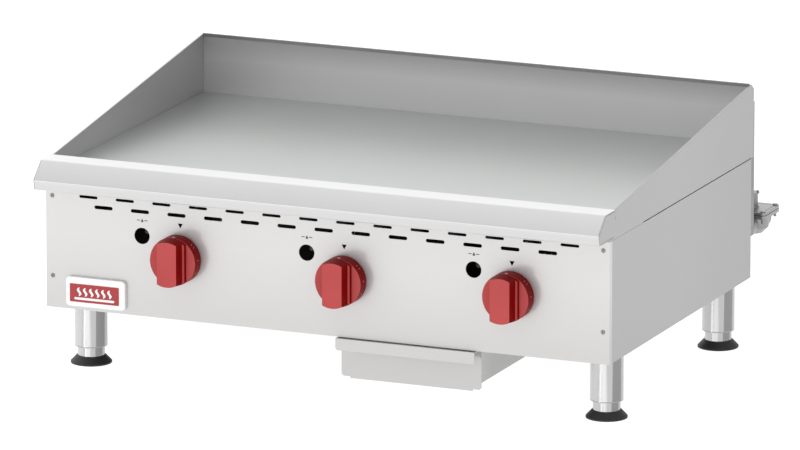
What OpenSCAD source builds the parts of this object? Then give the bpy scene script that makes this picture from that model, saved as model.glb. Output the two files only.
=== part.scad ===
// Countertop gas griddle with a flat steel plate and three burners.
// Each sub-part is its own node. Z is up, the front faces -Y and the bench top is at Z = 0.
// Depths named *_v are measured back from the front face of the control panel.

/* [Overall] */
// Width across the side plates
overall_w = 914; // [900:2:960]
// Depth from the knob faces to the gas inlet
overall_d = 756; // [756:1:780]
// Height of the back splash above the bench
overall_h = 406; // [402:1:430]

/* [Body] */
// Height of the underside of the body above the bench
body_z = 102; // [101.8:0.2:104]
// Depth of the side panels
body_d = 580; // [578:1:583]
// Thickness of the body sheet
sheet_t = 1.5; // [1.2:0.1:1.6]
// Depth of the return at each end of the control panel
panel_return = 10; // [8:1:14]
// Height of the seam under the side splashes
seam_z = 289.8; // [288:0.2:290]
// Height of the flue box's lower and upper edges on the back
flue_box_low = 166; // [150:1:200]
flue_box_top = 375; // [340:1:380]
// How far the flue box stands out behind the side panels
flue_box_d = 14.5; // [12:0.5:16]

/* [Plate and splash] */
// Height of the cooking surface
plate_z = 311.6; // [311:0.2:313]
// Thickness of the griddle plate
plate_t = 19; // [18:0.5:20]
// Thickness of the splash plates
splash_t = 3; // [2:0.5:4]
// Distance from the panel to the inner face of the back splash
splash_v = 579; // [577:1:580]
// Distance from the panel to the rear edge of the side splashes
splash_rear_v = 589; // [588:1:590]
// Height of the front rail's flat top
rail_z = 333; // [330:0.5:336]
// How far the front rail overhangs the control panel
rail_reach = 44.4; // [40:0.2:45]
// Distance from the panel to the rear edge of the rail's flat top
rail_back_v = 23.2; // [22:0.2:26]
// Distance from the panel to the front edge of the griddle plate
plate_front_v = 70; // [68:1:74]

/* [Controls] */
// Spacing of the three burner controls
control_pitch = 269.2; // [260:0.2:272]
// Sideways place of the middle knob
knob_mid_x = 31; // [20:0.5:40]
// Heights of the left, middle and right knobs
knob_z = [197, 191, 193.5];
// Radius of a knob
knob_r = 37; // [30:0.5:40]
// How far the knob's grip reaches in front of the panel
knob_reach = 46; // [45:1:52]
// Radius of a pilot lighting hole
pilot_hole_r = 12.6; // [10:0.2:14]
// Distance of a pilot hole to the left of its knob
pilot_dx = 60.4; // [58:0.2:66]
// Height of the pilot holes
pilot_z = 226.2; // [226:0.2:229]

/* [Grease drawer] */
// Sideways place of the grease drawer
drawer_x = 131.4; // [110:0.2:150]
// Width of the grease drawer
drawer_w = 226; // [200:1:240]
// Length of the grease drawer
drawer_d = 310; // [240:1:340]
// Height of the drawer's face above the bench
drawer_z = 34.6; // [32:0.2:45]

/* [Legs] */
// Sideways distance of a leg from the middle
leg_x = 420.8; // [419:0.2:422]
// Distance from the panel to the front legs
leg_front_v = 81; // [80:0.5:84]
// Distance from the panel to the rear legs
leg_rear_v = 538.6; // [538:0.2:542]
// Radius of a leg tube
leg_r = 25; // [24:0.5:26]
// Height of the leg tube's lower end
leg_z = 27; // [26:0.5:30]
// Radius of the foot tube inside it
foot_r = 20.75; // [18:0.25:21]

/* [Hidden] */

$fn = 48;
hex_fn = 6;

stainless = [0.83, 0.83, 0.82];
polished = [0.70, 0.71, 0.70];
galvanised = [0.62, 0.64, 0.66];
chrome = [0.88, 0.88, 0.90];
black_iron = [0.22, 0.22, 0.23];
brass = [0.80, 0.64, 0.30];
cast_alu = [0.62, 0.62, 0.63];
rubber = [0.13, 0.13, 0.13];
red = [0.75, 0.10, 0.10];
white = [0.93, 0.93, 0.93];

left = 0;
middle = 1;
right = 2;

// Clearances: a turning or sliding fit, and free air between parts that pass each other.
fit_gap = 0.05;
air_gap = 0.3;

half_w = overall_w / 2;
inner_w = overall_w - 2 * splash_t;
front_y = knob_reach - overall_d / 2;
back_v = body_d + flue_box_d;
panel_top = seam_z - 1.3;

// Front rail: points of its outer surface as [depth, height], from its rear flange round the
// top, the slope and the lip to the edge of its lower flange.
rail_t = 2;
rail_low_z = seam_z + 1.5;
rail_flange_z = rail_z - 14;
rail_outer = [
    [rail_back_v, rail_flange_z],
    [rail_back_v, rail_z],
    [-rail_reach + 27.7, rail_z],
    [-rail_reach, rail_z - 25.2],
    [-rail_reach + 3.7, rail_low_z],
    [14, rail_low_z]
];

// Grease trough and its chute.
trough_t = 2;
trough_top = 325;
trough_low_z = 262;
trough_end_z = 290;
chute_w = 70;
chute_v = [32, 64];
chute_low_z = body_z - 3.5;

// Frame under the body.
bar_t = 2;
bar_z = [body_z + 4.5, body_z + 29.5];
bar_w = 23;
leg_plate_w = 66;
leg_plate_z = body_z + sheet_t;
cross_v = [112, 400];

// Legs and feet.
leg_cap_z = 98;
stud_r = 6;
foot_top_z = 85;
pad_h = 12.2;
pad_r = 31.5;
leg_places = [
    [-leg_x, leg_front_v], [leg_x, leg_front_v], [-leg_x, leg_rear_v], [leg_x, leg_rear_v]
];

// Gas line.
gas_z = 166;
manifold_v = 92;
pipe_r = 13.35;
pipe_bore_r = 10.5;
fitting_r = 17;
socket = 7;
spud_r = 8;
manifold_start_x = -400;
feed_x = 424;
elbow_reach = 20.5;
regulator_v = 673;
regulator_w = 65.5;
regulator_lid_z = 184;
inlet_r = 12.1;
inlet_depth = 20;
rear_v = overall_d - knob_reach;

// Valves, burners and pilots.
stem_r = 4;
valve_v = [40, 76];
burner_z = 238;
burner_r = 19;
burner_wall = 1.5;
bell_v = [84, 110];
header_v = 165;
burner_rear_v = 545;
leg_span = 125;
burner_shift = -31;
shield_v = 112;
baffle_v = 558;
liner_x = 405;
pilot_off = -4;

// Drawer.
drawer_face_v = 20;
tray_z = drawer_z + 13.4;
rim_z = body_z - 5.5;
rim_w = 8;
handle_top = body_z - 1.2;
handle_v = -6;
slide_v = [40, 424];

function knob_x(i) = knob_mid_x + (i - middle) * control_pitch;
function pilot_x(i) = knob_x(i) - pilot_dx;

// Outline of a bent sheet: the polyline p, thickened by t to its left, and then its inner side.
function unit(v) = v / norm(v);
function left_of(v) = [-v[1], v[0]];
function side_before(p, i) = left_of(unit(p[max(i, 1)] - p[max(i, 1) - 1]));
function side_after(p, i) = left_of(unit(p[min(i, len(p) - 2) + 1] - p[min(i, len(p) - 2)]));
function mitre(a, b) = (a + b) / (1 + a * b);
function inside(p, t) =
    [for (i = [len(p) - 1 : -1 : 0]) p[i] + t * mitre(side_before(p, i), side_after(p, i))];
function bent_sheet(p, t) = concat(p, inside(p, t));

// Moves a shape from panel depths into the part's frame.
module from_front() {
    translate([0, front_y, 0]) children();
}

// A box between two corners.
module block(low, high) {
    translate(low) cube(high - low);
}

// Extrudes a [depth, height] outline from x0 to x1.
module along_x(x0, x1) {
    translate([x0, 0, 0]) rotate([90, 0, 90]) linear_extrude(x1 - x0) children();
}

// Extrudes an [x, height] outline from depth v0 to v1.
module along_v(v0, v1) {
    translate([0, v1, 0]) rotate([90, 0, 0]) linear_extrude(v1 - v0) children();
}

// A rod that runs along the depth, from v0 to v1.
module rod_v(r, v0, v1, fn = $fn) {
    translate([0, v1, 0]) rotate([90, 0, 0]) cylinder(r = r, h = v1 - v0, $fn = fn);
}

// A rod that runs along the width, from x0 to x1.
module rod_x(r, x0, x1) {
    translate([x0, 0, 0]) rotate([0, 90, 0]) cylinder(r = r, h = x1 - x0);
}

// A flat slot with round ends.
module slot(w, h) {
    square([w - h, h], center = true);
    for (side = [-1, 1]) translate([side * (w - h) / 2, 0]) circle(h / 2);
}

// A rectangle with round corners.
module round_rect(w, h, r) {
    square([w - 2 * r, h], center = true);
    square([w, h - 2 * r], center = true);
    for (sx = [-1, 1], sy = [-1, 1]) translate([sx * (w / 2 - r), sy * (h / 2 - r)]) circle(r);
}

// Mirrors a left-hand part to the right, and keeps the left one.
module both_sides() {
    children();
    mirror([1, 0, 0]) children();
}

module at_legs() {
    for (place = leg_places) from_front() translate([place[0], place[1], 0]) children();
}

module at_knob(i) {
    from_front() translate([knob_x(i), 0, knob_z[i]]) children();
}

module at_pilot(i) {
    from_front() translate([pilot_x(i) + pilot_off, 0, pilot_z]) children();
}

// ---- Plate, splash and rail ----

module griddle_plate() {
    color(polished) from_front()
        block([-inner_w / 2, plate_front_v, plate_z - plate_t], [inner_w / 2, splash_v, plate_z]);
}

module back_splash() {
    lip_v = splash_v - 5;
    color(stainless) from_front() along_x(-inner_w / 2, inner_w / 2) polygon([
        [splash_v, plate_z - plate_t],
        [splash_v, overall_h - 6.5],
        [lip_v, overall_h],
        [lip_v + splash_t + 1, overall_h],
        [splash_v + splash_t, overall_h - 5],
        [splash_v + splash_t, plate_z - plate_t]
    ]);
}

// One side splash, outer face at x = -half_w. Its nose fills the end of the front rail, and its
// lower edge closes the seam over the front of the side panel and under the rail's flange.
module side_splash() {
    closed_seam_v = 134;
    seam_gap = 0.2;
    slope_end_z = overall_h - 2;
    rear_chamfer_z = overall_h - 10;
    color(stainless) from_front() along_x(-half_w, -half_w + splash_t) polygon(concat(
        inside(rail_outer, rail_t),
        [
            rail_outer[0],
            rail_outer[1],
            [splash_v, slope_end_z],
            [splash_rear_v, rear_chamfer_z],
            [splash_rear_v, seam_z],
            [closed_seam_v, seam_z],
            [closed_seam_v, panel_top + seam_gap],
            [0, panel_top + seam_gap],
            [0, rail_low_z],
            rail_outer[5]
        ]
    ));
}

module left_splash() {
    side_splash();
}

module right_splash() {
    mirror([1, 0, 0]) side_splash();
}

module front_rail() {
    color(stainless) from_front() along_x(-half_w, half_w) polygon(bent_sheet(rail_outer, rail_t));
}

// Channel whose floor falls from both ends to the drop hole over the chute.
module grease_trough() {
    v0 = rail_back_v;
    v1 = plate_front_v;
    end_x = inner_w / 2;
    floor_line = [
        [-end_x, trough_end_z],
        [drawer_x - chute_w / 2, trough_low_z],
        [drawer_x + chute_w / 2, trough_low_z],
        [end_x, trough_end_z]
    ];
    hole_inset = 4;
    color(stainless) from_front() {
        difference() {
            along_v(v0, v1) polygon(bent_sheet(floor_line, trough_t));
            block(
                [drawer_x - chute_w / 2 + hole_inset, chute_v[0] + hole_inset, trough_low_z - 1],
                [drawer_x + chute_w / 2 - hole_inset, chute_v[1] - hole_inset, trough_low_z + 3]
            );
        }
        along_v(v0, v0 + trough_t)
            polygon(concat(floor_line, [[end_x, trough_top], [-end_x, trough_top]]));
        along_v(v1 - trough_t, v1)
            polygon(concat(floor_line, [[end_x, plate_z], [-end_x, plate_z]]));
    }
}

module grease_chute() {
    color(stainless) from_front() difference() {
        block(
            [drawer_x - chute_w / 2, chute_v[0], chute_low_z],
            [drawer_x + chute_w / 2, chute_v[1], trough_low_z]
        );
        block(
            [drawer_x - chute_w / 2 + sheet_t, chute_v[0] + sheet_t, chute_low_z - 1],
            [drawer_x + chute_w / 2 - sheet_t, chute_v[1] - sheet_t, trough_low_z + 1]
        );
    }
}

// ---- Case ----

vent_pitch = 60;
vent_low_count = 13;
vent_high_count = 14;
vent_low_z = 263.4;
vent_high_z = 277.7;
vent_shift = [-1.8, 3.4];
vent_w = 30;
vent_low_h = 5.6;
vent_high_h = 4.4;
screw_r = 2;
screw_hole_r = 2.1;
panel_screw_z = [151, 275];
panel_screw_inset = 10.5;
sheet_screw_z = [121];
box_screw_z = [300, 362];
back_screw_inset = 12;
front_flange = 22;
stem_hole_r = 7;

module vent_row(count, shift, z, h) {
    for (i = [0 : count - 1])
        translate([shift + (i - (count - 1) / 2) * vent_pitch, z]) slot(vent_w, h);
}

module panel_screw_places() {
    for (side = [-1, 1], z = panel_screw_z)
        translate([side * (half_w - panel_screw_inset), z]) children();
}

module control_panel() {
    in_x = half_w - sheet_t;
    color(stainless) from_front() {
        along_v(0, sheet_t) difference() {
            translate([-half_w, body_z]) square([overall_w, panel_top - body_z]);
            vent_row(vent_low_count, vent_shift[0], vent_low_z, vent_low_h);
            vent_row(vent_high_count, vent_shift[1], vent_high_z, vent_high_h);
            for (i = [left : right]) {
                translate([knob_x(i), knob_z[i]]) circle(stem_hole_r);
                translate([pilot_x(i), pilot_z]) circle(pilot_hole_r);
            }
            panel_screw_places() circle(screw_hole_r);
        }
        both_sides() block([-half_w, 0, body_z], [-in_x, panel_return, panel_top]);
        block([-in_x, 0, body_z], [in_x, panel_return, body_z + sheet_t]);
        block([-in_x, 0, panel_top - sheet_t], [in_x, panel_return, panel_top]);
    }
}

// One side panel, outer face at x = -half_w: flanged along its top and bottom, and along its
// front edge, where the panel screws bite.
module side_panel() {
    flange = 15;
    v0 = panel_return + 0.4;
    section = [
        [-half_w + flange, panel_top],
        [-half_w, panel_top],
        [-half_w, body_z],
        [-half_w + flange, body_z]
    ];
    color(stainless) from_front() {
        along_v(v0, body_d) polygon(bent_sheet(section, sheet_t));
        along_v(v0, v0 + sheet_t) difference() {
            translate([-half_w, body_z]) square([front_flange, panel_top - body_z]);
            panel_screw_places() circle(screw_hole_r);
        }
    }
}

module left_side_panel() {
    side_panel();
}

module right_side_panel() {
    mirror([1, 0, 0]) side_panel();
}

// Sheet across the back, with a hole for the gas pipe, and a raised flue box with outlet slots.
// Above the seam only the part of the box behind the splashes is left.
module back_panel() {
    flue_slot = [70, 8];
    flue_pitch = 95;
    flue_count = 7;
    flue_rows = [240, 258, 276];
    edge = half_w - 1;
    color(galvanised) from_front() difference() {
        union() {
            block([-edge, body_d, body_z], [edge, body_d + sheet_t, flue_box_low + sheet_t]);
            block([-edge, body_d, flue_box_low], [edge, back_v, flue_box_top]);
        }
        block(
            [-edge + sheet_t, body_d - 1, flue_box_low + sheet_t],
            [edge - sheet_t, back_v - sheet_t, flue_box_top - sheet_t]
        );
        block([-half_w, body_d - 1, seam_z - air_gap], [half_w, splash_rear_v, overall_h]);
        along_v(body_d - 1, back_v + 1) {
            for (z = flue_rows, i = [0 : flue_count - 1])
                translate([(i - (flue_count - 1) / 2) * flue_pitch, z])
                    slot(flue_slot[0], flue_slot[1]);
            translate([feed_x, gas_z]) circle(pipe_r + 1);
            back_screw_places(sheet_screw_z) circle(screw_hole_r);
            back_screw_places(box_screw_z) circle(screw_hole_r);
        }
    }
}

module back_screw_places(heights) {
    for (side = [-1, 1], z = heights) translate([side * (half_w - back_screw_inset), z]) children();
}

// A pan-head screw: its head's underside at depth 0, its shank running back.
module pan_screw(length) {
    head_r = [3.6, 2.5];
    head_h = 1.6;
    rotate([90, 0, 0]) cylinder(r1 = head_r[0], r2 = head_r[1], h = head_h);
    rod_v(screw_r, -0.01, length);
}

// Stands the heads of a set of screws on a rear face at depth v.
module back_screws(v, heights) {
    shank = sheet_t + 2;
    translate([0, v, 0]) rotate([90, 0, 0]) back_screw_places(heights) rotate([90, 0, 0])
        pan_screw(shank);
}

module case_screws() {
    panel_shank = 16;
    color(chrome) from_front() {
        rotate([90, 0, 0]) panel_screw_places() rotate([-90, 0, 0]) pan_screw(panel_shank);
        back_screws(body_d + sheet_t, sheet_screw_z);
        back_screws(back_v, box_screw_z);
    }
}

module badge_plate() {
    badge = [97, 45];
    badge_t = 6;
    badge_inset = [35, 6.5];
    corner_r = 6;
    color(white) from_front() along_v(-badge_t, 0)
        translate([-half_w, body_z] + badge_inset + badge / 2)
            round_rect(badge[0], badge[1], corner_r);
}

// ---- Frame and firebox ----

// A channel bar seen end on: its web stands at 0, its legs point to +1 and are w long.
module channel_outline(w) {
    h = bar_z[1] - bar_z[0];
    polygon(bent_sheet([[w, 0], [0, 0], [0, h], [w, h]], -bar_t));
}

module bottom_frame() {
    rail_x = half_w - sheet_t - 0.5;
    front_x = half_w - front_flange - air_gap;
    rear_v0 = body_d - 2;
    plate_h = bar_z[0] - leg_plate_z;
    color(galvanised) from_front() {
        both_sides() along_v(bar_w + 6, rear_v0 - bar_w)
            translate([-rail_x, bar_z[0]]) channel_outline(bar_w);
        along_x(-front_x, front_x) translate([4, bar_z[0]]) channel_outline(bar_w);
        along_x(-rail_x, rail_x) translate([rear_v0, bar_z[0]]) mirror([1, 0])
            channel_outline(bar_w - air_gap);
        for (v = cross_v)
            along_x(-rail_x + bar_w + air_gap, rail_x - bar_w - air_gap)
                translate([v, bar_z[0]]) channel_outline(bar_w);
    }
    at_legs() color(galvanised) difference() {
        block(
            [-leg_plate_w / 2, -leg_plate_w / 2, leg_plate_z],
            [leg_plate_w / 2, leg_plate_w / 2, leg_plate_z + plate_h - air_gap]
        );
        cylinder(r = stud_r + fit_gap, h = bar_z[1]);
    }
}

module leg_tubes() {
    color(chrome) at_legs() rotate_extrude() difference() {
        union() {
            translate([0, leg_z]) square([leg_r, body_z - leg_z]);
            square([stud_r, body_z + 18]);
        }
        square([foot_r + fit_gap, leg_cap_z]);
    }
}

module leg_nuts() {
    nut_r = 11;
    nut_h = 9;
    color(galvanised) at_legs() translate([0, 0, bar_z[0]]) difference() {
        cylinder(r = nut_r, h = nut_h, $fn = hex_fn);
        translate([0, 0, -1]) cylinder(r = stud_r, h = nut_h + 2);
    }
}

// Side walls of the firebox, with a flange that carries the griddle plate.
module firebox_liners() {
    foot_w = 28;
    section = [
        [-liner_x - foot_w, bar_z[1]],
        [-liner_x, bar_z[1]],
        [-liner_x, plate_z - plate_t],
        [-inner_w / 2 + 2, plate_z - plate_t]
    ];
    color(galvanised) from_front() both_sides()
        along_v(shield_v + sheet_t, baffle_v) polygon(bent_sheet(section, sheet_t));
}

module rear_baffle() {
    window = [220, 50];
    window_pitch = 260;
    window_z = 250;
    color(galvanised) from_front() along_v(baffle_v, baffle_v + sheet_t) difference() {
        translate([-liner_x, bar_z[1]]) square([2 * liner_x, plate_z - plate_t - bar_z[1]]);
        for (i = [-1 : 1]) translate([i * window_pitch, window_z]) square(window, center = true);
    }
}

module heat_shield() {
    edge = liner_x - 1;
    color(galvanised) from_front() along_v(shield_v, shield_v + sheet_t) difference() {
        translate([-edge, bar_z[1]]) square([2 * edge, plate_z - plate_t - bar_z[1]]);
        for (i = [left : right]) {
            translate([knob_x(i), burner_z]) circle(burner_r + 1);
            translate([pilot_x(i) + pilot_off, pilot_z]) circle(pilot_tube_r + 1);
        }
    }
}

module burner_hanger() {
    leg = 25;
    z = burner_z - burner_r;
    v = burner_rear_v - 30;
    color(galvanised) from_front() along_x(-liner_x + 1, liner_x - 1)
        polygon(bent_sheet([[v, z], [v - leg, z], [v - leg, z - leg]], bar_t));
}

// ---- Gas line ----

module at_feed() {
    from_front() translate([feed_x, 0, gas_z]) children();
}

module manifold_pipe() {
    end_x = feed_x - elbow_reach + socket;
    color(black_iron) from_front() translate([0, manifold_v, gas_z]) difference() {
        rod_x(pipe_r, manifold_start_x, end_x);
        rod_x(pipe_bore_r, manifold_start_x - 1, end_x + 1);
        for (i = [left : right]) {
            translate([knob_x(i), 0, 0]) cylinder(r = spud_r, h = 2 * pipe_r);
            translate([pilot_x(i) + pilot_off, 0, 0])
                cylinder(r = pilot_valve_r, h = 2 * pipe_r);
        }
    }
}

module manifold_cap() {
    cap_end = 6;
    cap_depth = 12;
    color(black_iron) from_front() translate([manifold_start_x, manifold_v, gas_z]) difference() {
        rod_x(fitting_r, -cap_end, cap_depth);
        rod_x(pipe_r, 0, cap_depth + 1);
    }
}

module feed_elbow() {
    color(black_iron) at_feed() translate([0, manifold_v, 0]) difference() {
        union() {
            sphere(fitting_r);
            rod_x(fitting_r, -elbow_reach, 0);
            rod_v(fitting_r, 0, elbow_reach);
        }
        rod_x(pipe_bore_r, -elbow_reach - 1, 0);
        rod_v(pipe_bore_r, 0, elbow_reach + 1);
        sphere(pipe_bore_r);
        rod_x(pipe_r, -elbow_reach - 1, -elbow_reach + socket);
        rod_v(pipe_r, elbow_reach - socket, elbow_reach + 1);
    }
}

feed_end_v = back_v + 18;
outlet_v = regulator_v - 36;

module feed_pipe() {
    v0 = manifold_v + elbow_reach - socket;
    color(galvanised) at_feed() difference() {
        rod_v(pipe_r, v0, feed_end_v);
        rod_v(pipe_bore_r, v0 - 1, feed_end_v + 1);
    }
}

module feed_coupling() {
    color(galvanised) at_feed() difference() {
        rod_v(fitting_r, back_v + 4, outlet_v);
        rod_v(pipe_bore_r, back_v, outlet_v + 1);
        rod_v(pipe_r, back_v, feed_end_v);
    }
}

module at_regulator() {
    from_front() translate([feed_x, regulator_v, 0]) children();
}

module regulator_corners() {
    for (sx = [-1, 1], sy = [-1, 1])
        translate((regulator_w / 2 - 6) * [sx, sy, 0]) children();
}

regulator_screw_r = 2.2;
regulator_screw_low = 171;
regulator_corner_r = 6;
diaphragm_t = 0.8;
cover_z = regulator_lid_z + diaphragm_t;
cover_top = cover_z + 4.2;
tower_r = 8.2;
tower_top = 211;

module regulator_body() {
    bowl_r = 25;
    bowl_low = 150.4;
    bowl_chamfer = 9;
    bowl_wall = 5;
    flange_t = 5.5;
    color(cast_alu) at_regulator() difference() {
        union() {
            rotate_extrude() polygon([
                [0, bowl_low],
                [bowl_r - bowl_chamfer, bowl_low],
                [bowl_r, bowl_low + bowl_chamfer],
                [bowl_r, regulator_lid_z],
                [0, regulator_lid_z]
            ]);
            translate([0, 0, regulator_lid_z - flange_t]) linear_extrude(flange_t)
                round_rect(regulator_w, regulator_w, regulator_corner_r);
            translate([0, 0, gas_z]) rod_v(fitting_r, outlet_v - regulator_v, rear_v - regulator_v);
        }
        translate([0, 0, gas_z]) {
            rod_v(pipe_bore_r, outlet_v - regulator_v - 1, rear_v - regulator_v);
            rod_v(inlet_r, rear_v - regulator_v - inlet_depth, rear_v - regulator_v + 1);
        }
        cylinder_between(bowl_r - bowl_wall, gas_z + 6, regulator_lid_z + 1);
        regulator_corners()
            cylinder_between(regulator_screw_r, regulator_screw_low - 1, regulator_lid_z + 1);
    }
}

module regulator_diaphragm() {
    diaphragm_r = 23.5;
    color(rubber) at_regulator()
        cylinder_between(diaphragm_r, regulator_lid_z, regulator_lid_z + diaphragm_t);
}

module regulator_cover() {
    dome_r = 20;
    collar_h = 4;
    tower_wall = 1.7;
    color(cast_alu) at_regulator() difference() {
        union() {
            translate([0, 0, cover_z]) linear_extrude(cover_top - cover_z)
                round_rect(regulator_w, regulator_w, regulator_corner_r);
            translate([0, 0, cover_top]) cylinder(r1 = tower_r + 2, r2 = tower_r, h = collar_h);
            cylinder_between(tower_r, cover_top, tower_top);
        }
        cylinder_between(dome_r, cover_z - 1, cover_z + 2);
        cylinder_between(tower_r - tower_wall, cover_z, tower_top + 1);
        regulator_corners() cylinder_between(regulator_screw_r, cover_z - 1, cover_top + 1);
    }
}

module cylinder_between(r, z0, z1) {
    translate([0, 0, z0]) cylinder(r = r, h = z1 - z0);
}

// A coil spring swept along its helix.
module coil_spring(coil_r, wire_r, height, turns, steps_per_turn, sides) {
    steps = turns * steps_per_turn;
    ring = [for (k = [0 : sides - 1]) wire_r * [cos(360 * k / sides), sin(360 * k / sides)]];
    points = [
        for (s = [0 : steps], k = [0 : sides - 1])
            let (a = 360 * s / steps_per_turn, r = coil_r + ring[k][0])
                [r * cos(a), r * sin(a), wire_r + (height - 2 * wire_r) * s / steps + ring[k][1]]
    ];
    sides_faces = [
        for (s = [0 : steps - 1], k = [0 : sides - 1])
            let (n = (k + 1) % sides)
                [s * sides + k, s * sides + n, (s + 1) * sides + n, (s + 1) * sides + k]
    ];
    first_cap = [for (k = [sides - 1 : -1 : 0]) k];
    last_cap = [for (k = [0 : sides - 1]) steps * sides + k];
    polyhedron(points, concat(sides_faces, [first_cap, last_cap]));
}

module regulator_spring() {
    color(galvanised) at_regulator() translate([0, 0, cover_z]) coil_spring(
        coil_r = 5.2, wire_r = 0.8, height = tower_top - cover_z,
        turns = 6, steps_per_turn = 12, sides = 6
    );
}

module regulator_cap() {
    cap_r = 10.5;
    pin_r = 2;
    pin_h = 3;
    cap_top = tower_top + 2;
    color(cast_alu) at_regulator() {
        cylinder_between(cap_r, tower_top, cap_top);
        translate([cap_r - pin_r, 0, 0]) cylinder_between(pin_r, cap_top - 1, cap_top + pin_h);
    }
}

module regulator_screws() {
    head_r = 4;
    head_h = 1.8;
    color(chrome) at_regulator() regulator_corners() {
        cylinder_between(regulator_screw_r, regulator_screw_low, cover_top + 1);
        cylinder_between(head_r, cover_top, cover_top + head_h);
    }
}

// ---- Valves, burners and pilots ----

stem_depth = 20;
hood_v = [60, 80];
hood_r = 8;
pilot_tube_r = 3.2;
pilot_valve_r = 6;
pilot_screw_v = [30, 52];
pilot_shank_r = 2.5;

module valve_bodies() {
    half_body = 13;
    half_foot = 10;
    foot_low = -10;
    neck_r = 7;
    neck_v = valve_v[1] - 12;
    color(brass) for (i = [left : right]) at_knob(i) difference() {
        union() {
            block(
                [-half_body, valve_v[0], -half_body - 1],
                [half_body, valve_v[1], half_body - 1]
            );
            block(
                [-half_foot, valve_v[1] - 1, foot_low],
                [half_foot, manifold_v + half_foot + 1, foot_low + 16]
            );
            translate([0, manifold_v, 0])
                cylinder_between(spud_r, gas_z + 5 - knob_z[i], foot_low + 1);
            translate([0, neck_v, 0]) cylinder_between(neck_r, 0, burner_z - knob_z[i]);
        }
        rod_v(stem_r + fit_gap, valve_v[0] - 1, valve_v[0] + stem_depth + 1);
        translate([0, 0, burner_z - knob_z[i]]) rod_v(hood_r, hood_v[0] - 1, hood_v[1]);
    }
}

module orifice_hoods() {
    nose_r = [6, 4];
    nose_h = 8;
    jet_r = 1.2;
    color(brass) for (i = [left : right]) from_front() translate([knob_x(i), 0, burner_z])
        difference() {
            union() {
                rod_v(hood_r, hood_v[0], hood_v[1]);
                translate([0, hood_v[1], 0]) rotate([-90, 0, 0])
                    cylinder(r1 = nose_r[0], r2 = nose_r[1], h = nose_h);
            }
            rod_v(jet_r, hood_v[0] + 4, hood_v[1] + nose_h + 1);
        }
}

// Places the two prongs of a burner beside its mixing tube.
module at_prongs() {
    for (side = [-1, 1]) translate([burner_shift + side * leg_span / 2, 0, 0]) children();
}

// The fork of a burner, as tubes of radius r: a mixing tube, a header and two prongs.
module burner_fork(r, extra) {
    header_end = leg_span / 2;
    rod_v(r, bell_v[0] - extra, header_v);
    translate([burner_shift, header_v, 0]) rod_x(r, -header_end, header_end);
    at_prongs() rod_v(r, header_v, burner_rear_v - (extra > 0 ? burner_wall : 0));
    at_prongs() translate([0, header_v, 0]) sphere(r);
}

window_turn = 45;

// Four air windows around a mixing tube.
module air_windows(r) {
    half = 5;
    for (a = [0, 90]) rotate([0, a, 0])
        block([-r, bell_v[0] + 6, -half], [r, bell_v[1] - 8, half]);
}

module burners() {
    port_pitch = 45;
    port_r = 1.5;
    port_z = 9;
    port_v = [header_v + 40, burner_rear_v - 30];
    color(black_iron) for (i = [left : right]) from_front() translate([knob_x(i), 0, burner_z])
        difference() {
            burner_fork(burner_r, 0);
            burner_fork(burner_r - burner_wall, 1);
            air_windows(burner_r + 2);
            at_prongs() for (v = [port_v[0] : port_pitch : port_v[1]])
                translate([0, v, port_z]) rod_x(port_r, -burner_r, burner_r);
        }
}

// A collar that turns on the mixing tube and covers its air windows.
module air_shutter(i) {
    collar_t = 1.6;
    color(galvanised) from_front() translate([knob_x(i), 0, burner_z]) difference() {
        rod_v(burner_r + fit_gap + collar_t, bell_v[0] + 2, bell_v[1] - 4);
        rod_v(burner_r + fit_gap, bell_v[0], bell_v[1]);
        rotate([0, window_turn / 2, 0]) air_windows(burner_r + 3);
    }
}

module pilot_valves() {
    color(brass) for (i = [left : right]) at_pilot(i) difference() {
        union() {
            translate([0, manifold_v, 0]) cylinder_between(pilot_valve_r, gas_z + 5 - pilot_z, 0);
            rod_v(pilot_valve_r, pilot_screw_v[0] + 10, manifold_v + 8);
        }
        rod_v(pilot_shank_r + fit_gap, pilot_screw_v[0], pilot_screw_v[1] + 1);
    }
}

module pilot_burners() {
    tube_end = shield_v + 16;
    head_r = 5;
    head_z = [-5, 16];
    flame_slot = [4, 6];
    color(cast_alu) for (i = [left : right]) at_pilot(i) {
        rod_v(pilot_tube_r, manifold_v + 8, tube_end);
        translate([0, tube_end, 0]) difference() {
            cylinder_between(head_r, head_z[0], head_z[1]);
            block(
                [-flame_slot[0] / 2, 0, head_z[1] - flame_slot[1]],
                [flame_slot[0] / 2, head_r + 1, head_z[1] + 1]
            );
        }
    }
}

// Needle screw with a slotted head, turned with a driver through the pilot hole.
module pilot_screw(i) {
    head_r = 4.5;
    head_h = 9;
    slot_depth = 2;
    half_slot = 0.6;
    v0 = pilot_screw_v[0];
    color(chrome) at_pilot(i) difference() {
        union() {
            rod_v(head_r, v0, v0 + head_h);
            rod_v(pilot_shank_r, v0, pilot_screw_v[1]);
        }
        block([-head_r - 1, v0 - 1, -half_slot], [head_r + 1, v0 + slot_depth, half_slot]);
    }
}

// ---- Knobs ----

knob_back_v = -2;
knob_face_v = -23.5;
bore_end_v = -22;

// Half of the grip's outline across the bar, as [width, depth]: a ledge, then a tapered wall.
grip_base_v = knob_face_v + 1;
grip_ledge_v = -30;
grip_profile = [
    [22.5, grip_base_v], [22, grip_ledge_v], [18.6, grip_ledge_v], [15.8, -knob_reach]
];

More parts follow.
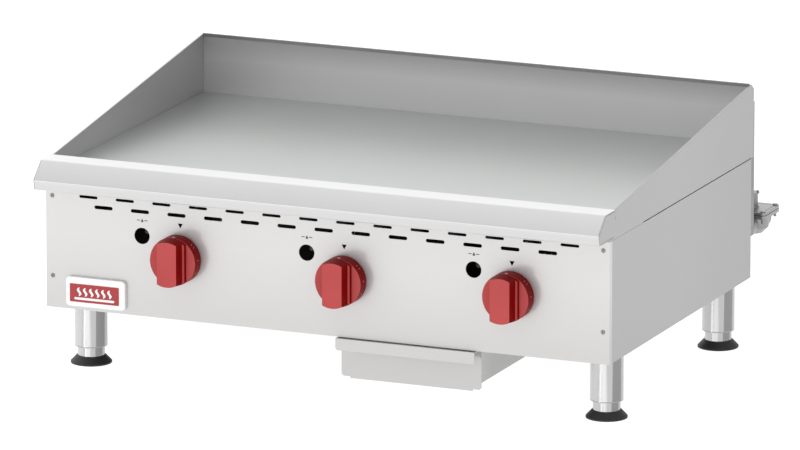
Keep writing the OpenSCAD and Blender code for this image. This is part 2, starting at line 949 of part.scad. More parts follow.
// A disc with a grip bar across it. The bar's ends lie on a cone that narrows to the front.
module knob(i) {
    rim = 4;
    grip_r = [knob_r - 0.5, knob_r - 2.4];
    color(red) at_knob(i) difference() {
        union() {
            rod_v(knob_r, knob_face_v, knob_back_v);
            intersection() {
                translate([0, 0, -knob_r]) linear_extrude(2 * knob_r) {
                    polygon(concat([[0, grip_base_v]], grip_profile, [[0, -knob_reach]]));
                    mirror([1, 0])
                        polygon(concat([[0, grip_base_v]], grip_profile, [[0, -knob_reach]]));
                }
                translate([0, grip_base_v, 0]) rotate([90, 0, 0])
                    cylinder(r1 = grip_r[0], r2 = grip_r[1], h = grip_base_v + knob_reach);
            }
        }
        rod_v(stem_r, bore_end_v, 0);
        rod_v(knob_r - rim, knob_back_v - rim, knob_back_v + 1);
    }
}

module valve_stem(i) {
    color(brass) at_knob(i) rod_v(stem_r, bore_end_v, valve_v[0] + stem_depth);
}

// ---- Grease drawer ----

module at_drawer() {
    from_front() translate([drawer_x, 0, 0]) children();
}

module drawer_tray() {
    half = drawer_w / 2;
    back = drawer_face_v + drawer_d;
    notch = [14, 2.8];
    corner = 3;
    rim_start = drawer_face_v + 10;
    color(stainless) at_drawer() {
        difference() {
            block([-half, drawer_face_v, tray_z], [half, back, rim_z]);
            block(
                [-half + sheet_t, drawer_face_v + sheet_t, tray_z + sheet_t],
                [half - sheet_t, back - sheet_t, rim_z + 1]
            );
        }
        along_v(drawer_face_v, drawer_face_v + sheet_t) polygon([
            [-half, rim_z],
            [-half, drawer_z + notch[1] + corner],
            [-half + corner, drawer_z + notch[1]],
            [-half + notch[0], drawer_z + notch[1]],
            [-half + notch[0], drawer_z],
            [half - notch[0], drawer_z],
            [half - notch[0], drawer_z + notch[1]],
            [half - corner, drawer_z + notch[1]],
            [half, drawer_z + notch[1] + corner],
            [half, rim_z]
        ]);
        both_sides() block([-half - rim_w, rim_start, rim_z - sheet_t], [-half, back, rim_z]);
    }
}

// Bent handle: a shelf from the top of the face and a lip that hangs down in front.
module drawer_handle() {
    half = drawer_w / 2 - 1;
    t = 1.2;
    lip_h = 18;
    tab_h = 14;
    corner_r = 4;
    color(stainless) at_drawer() {
        block([-half, handle_v, handle_top - t], [half, drawer_face_v, handle_top]);
        block([-half, drawer_face_v - t, handle_top - tab_h], [half, drawer_face_v, handle_top]);
        along_v(handle_v, handle_v + t) {
            translate([0, handle_top - lip_h / 2]) round_rect(2 * half, lip_h, corner_r);
            translate([-half, handle_top - lip_h / 2]) square([2 * half, lip_h / 2]);
        }
    }
}

// Hangers under the frame that carry the drawer's rim.
module drawer_slides() {
    web_x = drawer_w / 2 + rim_w + 0.8;
    flange = 16;
    ledge_z = rim_z - sheet_t - air_gap;
    top_z = bar_z[0];
    section = [
        [-drawer_w / 2 - air_gap - 1, ledge_z],
        [-web_x, ledge_z],
        [-web_x, top_z],
        [-web_x - flange, top_z]
    ];
    color(galvanised) at_drawer() both_sides()
        along_v(slide_v[0], slide_v[1]) polygon(bent_sheet(section, sheet_t));
}

// ---- Feet ----

module foot_tube(k) {
    wall = 3.5;
    floor_t = 4;
    color(chrome) from_front() translate([leg_places[k][0], leg_places[k][1], 0])
        rotate_extrude() difference() {
            translate([0, pad_h]) square([foot_r, foot_top_z - pad_h]);
            translate([0, pad_h + floor_t]) square([foot_r - wall, foot_top_z]);
        }
}

module foot_pad(k) {
    color(rubber) from_front() translate([leg_places[k][0], leg_places[k][1], 0])
        rotate_extrude() polygon([
            [0, 0], [pad_r, 0], [pad_r, 2.2], [foot_r + 1.2, pad_h], [0, pad_h]
        ]);
}

griddle_plate();
back_splash();
left_splash();
right_splash();
front_rail();
grease_trough();
grease_chute();
control_panel();
left_side_panel();
right_side_panel();
back_panel();
bottom_frame();
leg_tubes();
leg_nuts();
firebox_liners();
rear_baffle();
heat_shield();
burner_hanger();
drawer_slides();
manifold_pipe();
manifold_cap();
feed_elbow();
feed_pipe();
feed_coupling();
regulator_body();
regulator_diaphragm();
regulator_cover();
regulator_spring();
regulator_cap();
regulator_screws();
valve_bodies();
orifice_hoods();
burners();
pilot_valves();
pilot_burners();
badge_plate();
case_screws();
knob(left);  // knob_left
knob(middle);  // knob_middle
knob(right);  // knob_right
valve_stem(left);  // valve_stem_left
valve_stem(middle);  // valve_stem_middle
valve_stem(right);  // valve_stem_right
air_shutter(left);  // air_shutter_left
air_shutter(middle);  // air_shutter_middle
air_shutter(right);  // air_shutter_right
pilot_screw(left);  // pilot_screw_left
pilot_screw(middle);  // pilot_screw_middle
pilot_screw(right);  // pilot_screw_right
drawer_tray();
drawer_handle();
foot_tube(0);  // foot_tube_front_left
foot_tube(1);  // foot_tube_front_right
foot_tube(2);  // foot_tube_rear_left
foot_tube(3);  // foot_tube_rear_right
foot_pad(0);  // foot_pad_front_left
foot_pad(1);  // foot_pad_front_right
foot_pad(2);  // foot_pad_rear_left
foot_pad(3);  // foot_pad_rear_right
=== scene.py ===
import math

import bmesh
import bpy
from mathutils import Matrix, Vector


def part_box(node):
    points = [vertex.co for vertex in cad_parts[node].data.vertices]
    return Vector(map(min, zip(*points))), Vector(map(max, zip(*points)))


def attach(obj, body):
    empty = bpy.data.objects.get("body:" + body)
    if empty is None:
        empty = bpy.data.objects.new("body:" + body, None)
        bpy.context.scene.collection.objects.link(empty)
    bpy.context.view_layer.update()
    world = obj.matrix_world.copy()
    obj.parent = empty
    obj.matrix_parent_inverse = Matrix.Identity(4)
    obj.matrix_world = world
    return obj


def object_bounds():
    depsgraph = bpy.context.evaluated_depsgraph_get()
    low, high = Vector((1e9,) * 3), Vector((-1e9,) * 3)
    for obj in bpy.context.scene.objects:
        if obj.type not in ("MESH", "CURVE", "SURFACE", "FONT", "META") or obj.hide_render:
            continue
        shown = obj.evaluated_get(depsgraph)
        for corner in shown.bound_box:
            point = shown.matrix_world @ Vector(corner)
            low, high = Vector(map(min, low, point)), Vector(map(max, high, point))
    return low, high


MM = 0.001

# The camera's direction from the object in degrees, its distance in metres and its lens in mm.
CAMERA_AZIMUTH = 22.92
CAMERA_ELEVATION = 13.72
CAMERA_DISTANCE = 15.602
CAMERA_LENS = 463.08
# Where the camera aims, in mm from the middle of the object's box.
AIM_OFFSET = (-5.26, -31.88, 0.46)
# The key lamp's direction from the object and its apparent size, in degrees.
KEY_AZIMUTH = -25
KEY_ELEVATION = -14
KEY_SIZE = 6

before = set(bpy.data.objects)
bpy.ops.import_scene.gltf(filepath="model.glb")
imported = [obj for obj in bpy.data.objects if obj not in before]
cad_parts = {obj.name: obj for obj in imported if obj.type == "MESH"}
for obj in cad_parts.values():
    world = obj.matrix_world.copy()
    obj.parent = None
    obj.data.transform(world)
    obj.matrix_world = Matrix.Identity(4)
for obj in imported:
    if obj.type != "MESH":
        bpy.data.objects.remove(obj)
cad_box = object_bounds()
SIDES = ("left", "middle", "right")
FEET = ("front_left", "front_right", "rear_left", "rear_right")


# ---------- camera, floor and light ----------

def direction(azimuth, elevation):
    """The unit vector from the object towards a place at these angles, in degrees."""
    a = math.radians(azimuth)
    e = math.radians(elevation)
    return Vector((math.sin(a) * math.cos(e), -math.cos(a) * math.cos(e), math.sin(e)))


def add_camera():
    low, high = (Vector(corner) for corner in cad_box)
    aim = (low + high) / 2 + Vector(AIM_OFFSET) * MM
    data = bpy.data.cameras.new("camera")
    data.sensor_width = 36.0
    data.lens = CAMERA_LENS
    data.clip_end = 100.0
    camera = bpy.data.objects.new("camera", data)
    bpy.context.scene.collection.objects.link(camera)
    back = direction(CAMERA_AZIMUTH, CAMERA_ELEVATION)
    camera.location = aim + CAMERA_DISTANCE * back
    camera.rotation_euler = back.to_track_quat("Z", "Y").to_euler()
    bpy.context.scene.camera = camera


def add_key_light():
    """A soft lamp in front, to the left and below the floor, which throws the knobs' shadows up
    and to the right."""
    data = bpy.data.lights.new("key", "SUN")
    data.energy = 0.08
    data.angle = math.radians(KEY_SIZE)
    light = bpy.data.objects.new("key", data)
    bpy.context.scene.collection.objects.link(light)
    towards_key = direction(KEY_AZIMUTH, KEY_ELEVATION)
    light.rotation_euler = towards_key.to_track_quat("Z", "Y").to_euler()


def add_world():
    """A studio dome: brighter low behind the object and to its left, darker to its right."""
    world = bpy.data.worlds.new("studio")
    bpy.context.scene.world = world
    world.use_nodes = True
    tree = world.node_tree
    tree.nodes.clear()
    graph = Graph(tree)
    place = graph.add("ShaderNodeTexCoord").outputs["Generated"]
    behind = graph.facing(place, (-0.40, 0.90, 0.20))
    right = graph.facing(place, (0.93, 0.33, 0.15))
    base = graph.ramp(behind, [(0.0, (0.62,) * 3), (0.55, (0.80,) * 3), (1.0, (1.0,) * 3)])
    shade = graph.ramp(right, [(0.0, (1.0,) * 3), (0.9, (0.35,) * 3)])
    background = graph.add("ShaderNodeBackground")
    graph.link(graph.multiply(base, shade), background.inputs["Color"])
    background.inputs["Strength"].default_value = 1.5
    out = graph.add("ShaderNodeOutputWorld")
    graph.link(background.outputs[0], out.inputs["Surface"])


def add_floor():
    """A plain floor that glows, which keeps it pale and lights the object from below. It casts no
    shadow, so that the key lamp shines through it."""
    bpy.ops.mesh.primitive_plane_add(size=60)
    floor = bpy.context.object
    floor.name = "floor"
    floor.visible_shadow = False
    material = bpy.data.materials.new("floor")
    material.use_nodes = True
    shader = material.node_tree.nodes["Principled BSDF"]
    shader.inputs["Base Color"].default_value = (0.35, 0.35, 0.35, 1)
    shader.inputs["Roughness"].default_value = 0.9
    shader.inputs["Specular IOR Level"].default_value = 0.0
    shader.inputs["Emission Color"].default_value = (1, 1, 1, 1)
    shader.inputs["Emission Strength"].default_value = 0.95
    floor.data.materials.append(material)


# ---------- node graphs ----------

class Graph:
    """Short calls for building a node tree."""

    def __init__(self, tree):
        self.tree = tree

    def add(self, kind, **settings):
        node = self.tree.nodes.new(kind)
        for name, value in settings.items():
            setattr(node, name, value)
        return node

    def link(self, source, target):
        self.tree.links.new(source, target)

    def ramp(self, factor, stops):
        node = self.add("ShaderNodeValToRGB")
        elements = node.color_ramp.elements
        while len(elements) < len(stops):
            elements.new(0.5)
        for element, (position, colour) in zip(elements, stops):
            element.position = position
            element.color = (*colour, 1)
        self.link(factor, node.inputs["Fac"])
        return node.outputs["Color"]

    def facing(self, vector, axis):
        """The dot product of a vector and a fixed axis."""
        node = self.add("ShaderNodeVectorMath", operation="DOT_PRODUCT")
        node.inputs[1].default_value = axis
        self.link(vector, node.inputs[0])
        return node.outputs["Value"]

    def noise(self, vector, scale, detail=4.0, rough=0.5):
        node = self.add("ShaderNodeTexNoise")
        node.inputs["Scale"].default_value = scale
        node.inputs["Detail"].default_value = detail
        node.inputs["Roughness"].default_value = rough
        self.link(vector, node.inputs["Vector"])
        return node.outputs["Fac"]

    def stretched(self, vector, scale):
        node = self.add("ShaderNodeMapping")
        node.inputs["Scale"].default_value = scale
        self.link(vector, node.inputs["Vector"])
        return node.outputs["Vector"]

    def remap(self, value, low, high, start=0.25, end=0.75):
        """Carries start..end to low..high. A noise mostly lies in 0.25..0.75."""
        node = self.add("ShaderNodeMapRange")
        node.inputs["From Min"].default_value = start
        node.inputs["From Max"].default_value = end
        node.inputs["To Min"].default_value = low
        node.inputs["To Max"].default_value = high
        self.link(value, node.inputs["Value"])
        return node.outputs["Result"]

    def math(self, operation, first, second):
        node = self.add("ShaderNodeMath", operation=operation)
        self.link(first, node.inputs[0])
        if isinstance(second, (int, float)):
            node.inputs[1].default_value = second
        else:
            self.link(second, node.inputs[1])
        return node.outputs[0]

    def multiply(self, first, second):
        """The product of two colours."""
        node = self.add("ShaderNodeMix", data_type="RGBA", blend_type="MULTIPLY")
        node.inputs["Factor"].default_value = 1.0
        for socket, colour in (("A", first), ("B", second)):
            target = [s for s in node.inputs if s.name == socket and s.type == "RGBA"][0]
            self.link(colour, target)
        return [s for s in node.outputs if s.type == "RGBA"][0]

    def blend(self, factor, plain, colour):
        """A plain colour where factor is 0, the other colour where it is 1."""
        node = self.add("ShaderNodeMix", data_type="RGBA")
        self.link(factor, node.inputs["Factor"])
        colours = [s for s in node.inputs if s.type == "RGBA"]
        colours[0].default_value = (*plain, 1)
        self.link(colour, colours[1])
        return [s for s in node.outputs if s.type == "RGBA"][0]

    def bump(self, height, distance):
        node = self.add("ShaderNodeBump")
        node.inputs["Distance"].default_value = distance
        self.link(height, node.inputs["Height"])
        return node.outputs["Normal"]


def new_material(name):
    """A material: its graph, its Principled shader and its coordinates."""
    material = bpy.data.materials.new(name)
    material.use_nodes = True
    graph = Graph(material.node_tree)
    shader = material.node_tree.nodes["Principled BSDF"]
    place = graph.add("ShaderNodeTexCoord")
    return material, graph, shader, place


def brushed_metal(
    name, colour, roughness, grain, metallic=0.6, wear=0.02, fade=None, right_end=None,
):
    """Metal brushed along one axis. grain is the noise scale along x, y and z: low along the
    brushing, high across it. fade is (axis, start, end, share): the colour falls to that share of
    itself between two places along an axis, in metres. It stands in for uneven studio light.
    right_end is the share left on faces that look to the right: painted shade, to match the side
    sheets."""
    material, graph, shader, place = new_material(name)
    lines = graph.noise(graph.stretched(place.outputs["Object"], grain), 1.0, detail=3.0)
    smudges = graph.noise(place.outputs["Object"], 7.0, detail=5.0)
    darker = tuple(c * (1 - 2 * wear) for c in colour)
    tone = graph.math("MULTIPLY", graph.math("ADD", lines, smudges), 0.5)
    tinted = graph.ramp(tone, [(0.3, darker), (0.7, colour)])
    if fade:
        axis, start, end, share = fade
        split = graph.add("ShaderNodeSeparateXYZ")
        graph.link(place.outputs["Object"], split.inputs["Vector"])
        tinted = graph.multiply(
            tinted, graph.remap(split.outputs[axis], 1.0, share, start, end)
        )
    if right_end:
        facing = graph.facing(place.outputs["Normal"], (1, 0, 0))
        tinted = graph.multiply(tinted, graph.remap(facing, 1.0, right_end, 0.8, 0.95))
    graph.link(tinted, shader.inputs["Base Color"])
    grain_rough = graph.remap(lines, roughness - 0.02, roughness + 0.02)
    smudge_rough = graph.remap(smudges, -0.015, 0.015)
    graph.link(graph.math("ADD", grain_rough, smudge_rough), shader.inputs["Roughness"])
    graph.link(graph.bump(lines, 0.00001), shader.inputs["Normal"])
    shader.inputs["Metallic"].default_value = metallic
    return material


def drawn_tube(name, bands, roughness, shaded_below=None):
    """Chromed tube. bands are (turn, tone) stops around it, fixed to the tube: reflections that
    are painted on, beside the ones that the shader makes. Below the height given last, in metres,
    it has one even grey tone: painted shade along the tube's lower rim, where the foot tube goes
    in."""
    material, graph, shader, place = new_material(name)
    film = graph.noise(place.outputs["Object"], 25.0, detail=6.0)
    split = graph.add("ShaderNodeSeparateXYZ")
    graph.link(place.outputs["Normal"], split.inputs["Vector"])
    turn = graph.math("ARCTAN2", split.outputs["X"], graph.math("MULTIPLY", split.outputs["Y"], -1))
    part = graph.math("ADD", graph.math("DIVIDE", turn, 2 * math.pi), 0.5)
    stops = [(position, (tone,) * 3) for position, tone in bands]
    stains = graph.ramp(film, [(0.3, (0.95,) * 3), (0.7, (1.0,) * 3)])
    tone = graph.ramp(part, stops)
    if shaded_below:
        height = graph.add("ShaderNodeSeparateXYZ")
        graph.link(place.outputs["Object"], height.inputs["Vector"])
        above = graph.math("GREATER_THAN", height.outputs["Z"], shaded_below)
        tone = graph.blend(above, (0.36,) * 3, tone)
    graph.link(graph.multiply(tone, stains), shader.inputs["Base Color"])
    graph.link(graph.remap(film, roughness * 0.7, roughness * 1.3), shader.inputs["Roughness"])
    shader.inputs["Metallic"].default_value = 0.75
    return material


def coarse_metal(name, colour, roughness, scale, depth, metallic=1.0):
    """Cast, rolled or coated metal with an even, pitted grain."""
    material, graph, shader, place = new_material(name)
    pits = graph.noise(place.outputs["Object"], scale, detail=6.0, rough=0.6)
    patches = graph.noise(place.outputs["Object"], 14.0, detail=3.0)
    graph.link(
        graph.ramp(patches, [(0.3, tuple(c * 0.85 for c in colour)), (0.7, colour)]),
        shader.inputs["Base Color"],
    )
    graph.link(graph.remap(pits, roughness - 0.08, roughness + 0.08), shader.inputs["Roughness"])
    graph.link(graph.bump(pits, depth), shader.inputs["Normal"])
    shader.inputs["Metallic"].default_value = metallic
    return material


def moulded(name, colour, roughness, scale, depth, specular=0.5, front=None):
    """Plastic, rubber, ink or enamel: a fine moulded grain and a faint uneven tone. front is the
    colour of the faces that look forward, if it differs. It stands in for a sheen on them."""
    material, graph, shader, place = new_material(name)
    grain = graph.noise(place.outputs["Object"], scale, detail=3.0)
    tone = graph.noise(place.outputs["Object"], 18.0, detail=3.0)
    mottle = graph.ramp(tone, [(0.3, (0.92,) * 3), (0.7, (1.0,) * 3)])
    forward = graph.facing(place.outputs["Normal"], (0, -1, 0))
    tint = graph.ramp(forward, [(0.80, colour), (0.97, front or colour)])
    graph.link(graph.multiply(tint, mottle), shader.inputs["Base Color"])
    graph.link(graph.remap(grain, roughness - 0.04, roughness + 0.04), shader.inputs["Roughness"])
    graph.link(graph.bump(grain, depth), shader.inputs["Normal"])
    shader.inputs["Specular IOR Level"].default_value = specular
    return material


ALONG_X = (4, 1100, 1100)
ALONG_Y = (1100, 4, 1100)
# Chosen so that the legs look as photographed from the front right. Turn 0.5 looks to the
# front, and more turns to the right. The dip before the bright band offsets the key lamp's glint.
# These tones are painted reflections.
TUBE_BANDS = [
    (0.0, 0.59), (0.455, 0.57), (0.474, 0.53), (0.486, 0.45), (0.495, 0.41), (0.504, 0.64),
    (0.518, 0.75), (0.53, 0.79), (0.545, 0.77), (0.57, 0.52), (0.612, 0.52), (0.622, 0.27),
    (0.715, 0.26), (0.725, 0.45), (1.0, 0.47),
]

# The outer sheets are probably one kind of steel. Their tones and fades differ to match how light
# each face was photographed, so they hold some of that picture's light.
MATERIALS = {
    "panel": brushed_metal(
        "panel_steel", (0.635, 0.629, 0.623), 0.42, ALONG_X, fade=("Z", 0.22, 0.11, 0.89),
    ),
    "rail": brushed_metal(
        "rail_steel", (0.74, 0.74, 0.74), 0.34, ALONG_X, fade=("Z", 0.333, 0.299, 0.85),
        right_end=0.56,
    ),
    "side": brushed_metal(
        "side_steel", (0.413, 0.413, 0.413), 0.38, ALONG_Y, fade=("Y", -0.05, 0.24, 0.92),
    ),
    "splash": brushed_metal(
        "splash_steel", (0.71, 0.71, 0.71), 0.36, ALONG_X, fade=("Z", 0.366, 0.400, 0.66),
    ),
    # The trough's front face shows through some vent slots, and is nearly black there: painted
    # shade for the dark behind the slots.
    "trough": brushed_metal(
        "trough_steel", (0.55, 0.55, 0.55), 0.36, ALONG_X, fade=("Y", -0.306, -0.3085, 0.02),
    ),
    "left_splash": brushed_metal(
        "left_splash_steel", (0.65, 0.65, 0.65), 0.36, ALONG_Y, fade=("Y", -0.13, 0.20, 0.77),
    ),
    "drawer": brushed_metal(
        "drawer_steel", (0.549, 0.544, 0.539), 0.42, ALONG_X, fade=("Y", -0.338, -0.27, 0.87),
    ),
    "plate": brushed_metal(
        "plate_steel", (0.525, 0.54, 0.53), 0.36, ALONG_X, wear=0.03,
        fade=("Y", -0.24, 0.0, 0.945),
    ),
    "chrome": drawn_tube("chrome", TUBE_BANDS, 0.22),
    "leg_chrome": drawn_tube("leg_chrome", TUBE_BANDS, 0.22, shaded_below=0.0285),
    "screw": coarse_metal("screw_steel", (0.34, 0.34, 0.34), 0.45, 300.0, 0.00002, metallic=0.6),
    "galvanised": coarse_metal("galvanised_steel", (0.30, 0.31, 0.32), 0.48, 120.0, 0.00005),
    # Near black: painted shade on the parts inside, so that the slots and holes into them read
    # dark.
    "shade_black": coarse_metal("shade_black_steel", (0.03, 0.03, 0.03), 0.70, 160.0, 0.00005, metallic=0.2),
    "iron": coarse_metal("black_iron", (0.07, 0.07, 0.075), 0.62, 160.0, 0.0001, metallic=0.6),
    "brass": brushed_metal("brass", (0.60, 0.42, 0.18), 0.30, ALONG_X, wear=0.08),
    "cast": coarse_metal("cast_aluminium", (0.36, 0.36, 0.365), 0.46, 260.0, 0.0001),
    "rubber": moulded("black_rubber", (0.025, 0.025, 0.025), 0.55, 500.0, 0.00003),
    "red": moulded(
        "red_plastic", (0.21, 0.002, 0.002), 0.35, 900.0, 0.00001, specular=0.03,
        front=(0.53, 0.091, 0.090),
    ),
    # White print on red, toned down to how such small marks read from afar. On the knobs' skirts
    # they also stand in for glints: painted glints.
    "knob_mark": moulded(
        "white_print_and_glint", (0.62, 0.40, 0.41), 0.4, 600.0, 0.00001, specular=0.2,
    ),
    "badge": moulded("badge_enamel", (0.92, 0.92, 0.92), 0.25, 600.0, 0.00001),
    "badge_red": moulded(
        "badge_red_enamel", (0.46, 0.070, 0.075), 0.35, 600.0, 0.00001, specular=0.1,
    ),
    "ink": moulded("marking_ink", (0.004, 0.004, 0.005), 0.6, 700.0, 0.00001, specular=0.0),
    # Grey print for the pilot signs, and painted shade for the screw recesses.
    "grey_print_and_shade": moulded("grey_print_and_shade", (0.14, 0.14, 0.14), 0.6, 700.0, 0.00001, specular=0.0),
}

NODE_MATERIALS = {
    "griddle_plate": "plate",
    "back_splash": "splash",
    "left_splash": "left_splash",
    "right_splash": "side",
    "front_rail": "rail",
    "grease_trough": "trough",
    "grease_chute": "shade_black",
    "heat_shield": "shade_black",
    "rear_baffle": "shade_black",
    "firebox_liners": "shade_black",
    "burner_hanger": "shade_black",
    "control_panel": "panel",
    "left_side_panel": "side",
    "right_side_panel": "side",
    "leg_tubes": "leg_chrome",
    "case_screws": "screw",
    "regulator_screws": "screw",
    "regulator_body": "cast",
    "regulator_cover": "cast",
    "regulator_cap": "cast",
    "regulator_diaphragm": "rubber",
    "pilot_burners": "shade_black",
    "valve_bodies": "brass",
    "orifice_hoods": "brass",
    "pilot_valves": "brass",
    "badge_plate": "badge",
    "drawer_tray": "drawer",
    "drawer_handle": "drawer",
}
for pipe in ("manifold_pipe", "manifold_cap", "feed_elbow", "burners"):
    NODE_MATERIALS[pipe] = "iron"
for side in SIDES:
    NODE_MATERIALS["knob_" + side] = "red"
    NODE_MATERIALS["valve_stem_" + side] = "brass"
    NODE_MATERIALS["pilot_screw_" + side] = "chrome"
for foot in FEET:
    NODE_MATERIALS["foot_tube_" + foot] = "chrome"
    NODE_MATERIALS["foot_pad_" + foot] = "rubber"

# Sheets whose flat faces are cut up by holes.
HOLED_SHEETS = ("control_panel", "back_panel", "grease_trough", "rear_baffle", "heat_shield")

# How far each node's edges are rounded, in mm.
EDGE_RADIUS = {"griddle_plate": 0.8, "front_rail": 1.8, "badge_plate": 4.0}
EDGE_RADIUS.update({"knob_" + side: 0.9 for side in SIDES})
EDGE_RADIUS.update({sheet: 0.2 for sheet in HOLED_SHEETS})
SMALL_RADIUS = 0.35


def dress_node(name, node):
    """Gives a CAD node its material and softened edges."""
    node.data.materials.clear()
    node.data.materials.append(MATERIALS[NODE_MATERIALS.get(name, "galvanised")])
    weld = node.modifiers.new("weld", "WELD")
    weld.merge_threshold = 0.00001
    if name in HOLED_SHEETS:
        whole_faces = node.modifiers.new("whole_faces", "DECIMATE")
        whole_faces.decimate_type = "DISSOLVE"
        whole_faces.angle_limit = math.radians(0.5)
    bevel = node.modifiers.new("bevel", "BEVEL")
    bevel.width = EDGE_RADIUS.get(name, SMALL_RADIUS) * MM
    bevel.segments = 3 if name in EDGE_RADIUS else 2
    bevel.limit_method = "ANGLE"
    bevel.angle_limit = math.radians(30)
    node.modifiers.new("normals", "WEIGHTED_NORMAL").keep_sharp = True


# ---------- small pieces on the front ----------

def relief(name, outlines, place, thickness, material, body):
    """Thin raised shapes. outlines are lists of (x, z) points in mm. The shapes rise towards -Y,
    and place is the matrix that carries them to the object."""
    mesh = bpy.data.meshes.new(name)
    shape = bmesh.new()
    for outline in outlines:
        back = [shape.verts.new((x * MM, 0, z * MM)) for x, z in outline]
        face = shape.faces.new(back)
        front = bmesh.ops.extrude_face_region(shape, geom=[face])["geom"]
        moved = [v for v in front if isinstance(v, bmesh.types.BMVert)]
        bmesh.ops.translate(shape, verts=moved, vec=(0, -thickness * MM, 0))
    bmesh.ops.recalc_face_normals(shape, faces=shape.faces)
    shape.transform(place)
    shape.to_mesh(mesh)
    shape.free()
    piece = bpy.data.objects.new(name, mesh)
    bpy.context.scene.collection.objects.link(piece)
    mesh.materials.append(MATERIALS[material])
    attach(piece, body)


def centre(node):
    low, high = (Vector(corner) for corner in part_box(node))
    return (low + high) / 2


def front_of(node):
    """The y of a node's front face."""
    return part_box(node)[0][1]


def at(x, y, z):
    return Matrix.Translation((x, y, z))


def rounded_box(width, height, radius, middle=(0, 0), steps=5):
    """The outline of a rectangle with round corners."""
    points = []
    for k, (sx, sz) in enumerate(((1, 1), (-1, 1), (-1, -1), (1, -1))):
        for i in range(steps + 1):
            a = math.radians(90 * k + 90 * i / steps)
            points.append((
                middle[0] + sx * (width / 2 - radius) + radius * math.cos(a),
                middle[1] + sz * (height / 2 - radius) + radius * math.sin(a),
            ))
    return points


def wave(x, low, high, sway, width, steps=12):
    """A wavering upright stroke, like rising heat, that tapers at both ends."""
    left = []
    right = []
    for i in range(steps + 1):
        t = i / steps
        middle = x + sway * math.sin(2 * math.pi * t)
        half = width / 2 * math.sin(math.pi * (0.12 + 0.76 * t))
        z = low + (high - low) * t
        left.append((middle - half, z))
        right.append((middle + half, z))
    return left + right[::-1]


def flame(width, height, steps=10):
    """A small flame: round below, pointed above."""
    points = []
    for i in range(2 * steps):
        a = math.pi * i / steps
        squeeze = 0.5 * (1 - math.cos(a))
        points.append((width / 1.3 * math.sin(a) * squeeze, height / 2 * math.cos(a)))
    return points


def cross(width, arm):
    """The outline of a plus sign."""
    a = arm / 2
    b = width / 2
    return [
        (a, a), (a, b), (-a, b), (-a, a), (-b, a), (-b, -a),
        (-a, -a), (-a, -b), (a, -b), (a, -a), (b, -a), (b, a),
    ]


def add_badge_face():
    """A red field on the badge, a little low and to the left, with heat rising off a hotplate."""
    plate = centre("badge_plate")
    off_centre = 1.6 * MM
    x = plate.x - off_centre
    y = front_of("badge_plate")
    z = plate.z - off_centre
    field_w = 81
    field_h = 28
    layer_t = 0.3
    relief(
        "badge_field", [rounded_box(field_w, field_h, 1.2)], at(x, y, z), layer_t,
        "badge_red", "chassis",
    )
    strokes = [wave(stroke_x, -4.5, 8.5, sway=1.8, width=4.6) for stroke_x in range(-25, 26, 10)]
    strokes.append(rounded_box(66, 3.6, 1.8, middle=(0, -8.5)))
    relief(
        "badge_heat_waves", strokes, at(x, y - layer_t * MM, z), layer_t,
        "badge", "chassis",
    )


# Where each knob's index mark stands, in mm from the knob's middle.
MARK_PLACES = {"left": (2.6, 51.6), "middle": (0.5, 51.0), "right": (1.1, 49.3)}
# Where each pilot sign stands, in mm from the pilot's needle screw.
SIGN_PLACE = (4.5, 24.0)
# How thick the print on the panel is, in mm.
PRINT_T = 0.12
# Where the ticks stand round a knob's skirt, in degrees clockwise from the top. The ticks are print
# marks and painted glints.
TICK_ANGLES = (45, 53.5, 85, 117)


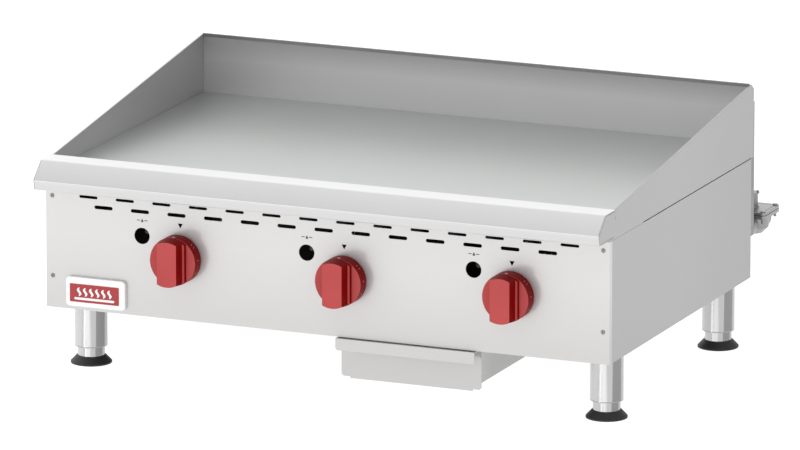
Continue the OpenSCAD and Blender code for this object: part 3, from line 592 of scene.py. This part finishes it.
def add_panel_marks():
    """An index mark above each knob and a sign above each pilot hole."""
    y = front_of("control_panel")
    mark_w = 8.0
    mark_h = 7.4
    mark = [(-mark_w / 2, mark_h / 3), (mark_w / 2, mark_h / 3), (0, -2 * mark_h / 3)]
    sign = [flame(4.2, 5.8)]
    sign += [rounded_box(5.2, 1.3, 0.5, middle=(side * 6.2, 0)) for side in (-1, 1)]
    for side in SIDES:
        knob = centre("knob_" + side)
        dx, dz = MARK_PLACES[side]
        relief(
            "knob_mark_" + side, [mark], at(knob.x + dx * MM, y, knob.z + dz * MM), PRINT_T,
            "ink", "chassis",
        )
        pilot = centre("pilot_screw_" + side)
        dx, dz = SIGN_PLACE
        relief(
            "pilot_sign_" + side, sign, at(pilot.x + dx * MM, y, pilot.z + dz * MM), PRINT_T,
            "grey_print_and_shade", "chassis",
        )


def on_rim(side, angle, reach):
    """The matrix to a place on a knob's rim: angle degrees clockwise from the top, and reach mm
    in front of the knob's back."""
    low, high = (Vector(corner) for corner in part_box("knob_" + side))
    middle = (low + high) / 2
    radius = (high.x - low.x) / 2 - 0.1 * MM
    turn = Matrix.Rotation(math.radians(angle), 4, "Y")
    tip = Matrix.Rotation(math.radians(-90), 4, "X")
    return at(middle.x, high.y - reach * MM, middle.z) @ turn @ at(0, 0, radius) @ tip


def add_knob_marks():
    """A pointer on top of each knob's skirt, and ticks down its right side, which are print marks
    and painted glints.
    """
    pointer_reach = 17
    tick_reach = 10
    for side in SIDES:
        body = side + "_control"
        relief(
            "knob_pointer_" + side, [rounded_box(4.0, 5.5, 0.8)],
            on_rim(side, 0, pointer_reach), 0.3, "knob_mark", body,
        )
        for k, angle in enumerate(TICK_ANGLES):
            relief(
                "knob_tick_and_glint_{}_{}".format(side, k), [rounded_box(1.2, 2.2, 0.5)],
                on_rim(side, angle, tick_reach), 0.2, "knob_mark", body,
            )


def add_screw_recesses():
    """Dark crosses just in front of the heads of the four screws on the control panel: painted
    shade that stands for the recesses, which aren't cut."""
    low, high = (Vector(corner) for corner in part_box("control_panel"))
    stand_off = 0.05
    y = front_of("case_screws") - stand_off * MM
    side_inset = 10.5 * MM
    bottom_inset = 49 * MM
    top_inset = 13.5 * MM
    for i, x in enumerate((low.x + side_inset, high.x - side_inset)):
        for k, z in enumerate((low.z + bottom_inset, high.z - top_inset)):
            relief(
                "screw_recess_shade_{}_{}".format(i, k), [cross(3.2, 0.8)], at(x, y, z), stand_off,
                "grey_print_and_shade", "chassis",
            )


add_camera()
add_floor()
add_world()
add_key_light()
for name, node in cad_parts.items():
    dress_node(name, node)
add_badge_face()
add_panel_marks()
add_knob_marks()
add_screw_recesses()

bpy.context.scene.view_settings.view_transform = "Standard"
